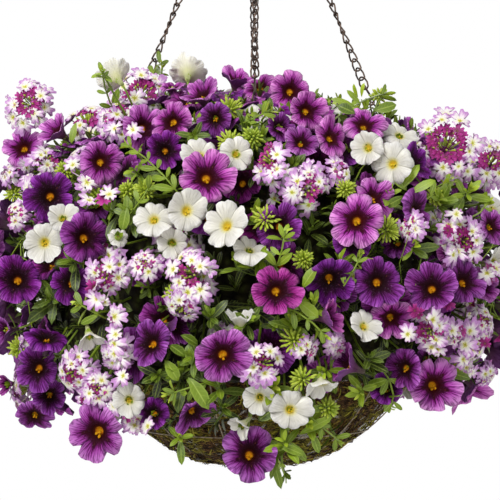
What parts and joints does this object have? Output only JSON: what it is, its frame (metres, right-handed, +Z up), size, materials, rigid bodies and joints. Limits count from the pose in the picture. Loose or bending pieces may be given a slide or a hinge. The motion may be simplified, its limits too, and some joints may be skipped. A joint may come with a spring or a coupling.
{
  "type": "planted hanging basket",
  "caption": "Moss-lined wire hanging basket on chains, planted with trailing calibrachoa and verbena in flower, hung from a hook.",
  "frame": {"origin": "the bearing point: the highest point inside the top hook's bend, where it hangs on a bracket", "axes": "+Z up along the hanging line; the front of the basket faces -Y; the rim hooks lie on X and Y"},
  "size_m": [0.4367, 0.437, 0.5937],
  "materials": {
    "bronzed_wire": "dark bronze coated steel wire, slightly worn",
    "clear_film": "thin clear film, creased",
    "sphagnum_moss": "matted moss, brown with olive tufts",
    "potting_soil": "loose peaty compost",
    "purple_petals": "soft matte petals, violet with a dark throat",
    "white_petals": "soft matte petals, white with a yellow throat",
    "verbena_petals": "small matte petals, white edged with lilac and magenta",
    "foliage": "soft green leaves and stems, slightly hairy"
  },
  "bodies": {
    "root": {"top_hook": "bronzed_wire", "top_ring": "bronzed_wire", "upper_chain_front": "bronzed_wire", "upper_chain_right": "bronzed_wire", "upper_chain_back": "bronzed_wire", "upper_chain_left": "bronzed_wire", "s_hook_front": "bronzed_wire", "s_hook_right": "bronzed_wire", "s_hook_back": "bronzed_wire", "s_hook_left": "bronzed_wire", "lower_chain_front": "bronzed_wire", "lower_chain_right": "bronzed_wire", "lower_chain_back": "bronzed_wire", "lower_chain_left": "bronzed_wire", "rim_hook_front": "bronzed_wire", "rim_hook_right": "bronzed_wire", "rim_hook_back": "bronzed_wire", "rim_hook_left": "bronzed_wire", "rim_ring": "bronzed_wire", "band_1": "bronzed_wire", "band_2": "bronzed_wire", "base_ring": "bronzed_wire", "rib_01": "bronzed_wire", "rib_02": "bronzed_wire", "rib_03": "bronzed_wire", "rib_04": "bronzed_wire", "rib_05": "bronzed_wire", "rib_06": "bronzed_wire", "rib_07": "bronzed_wire", "rib_08": "bronzed_wire", "rib_09": "bronzed_wire", "rib_10": "bronzed_wire", "rib_11": "bronzed_wire", "rib_12": "bronzed_wire", "clear_film": "clear_film", "moss_liner": "sphagnum_moss", "potting_soil": "potting_soil", "purple_calibrachoa_right": "purple_petals", "purple_calibrachoa_back": "purple_petals", "purple_calibrachoa_front_left": "purple_petals", "purple_calibrachoa_centre": "purple_petals", "white_calibrachoa_back_left": "white_petals", "white_calibrachoa_front_right": "white_petals", "verbena_back_right": "verbena_petals", "verbena_left": "verbena_petals", "verbena_right": "verbena_petals"}
  },
  "joints": []
}
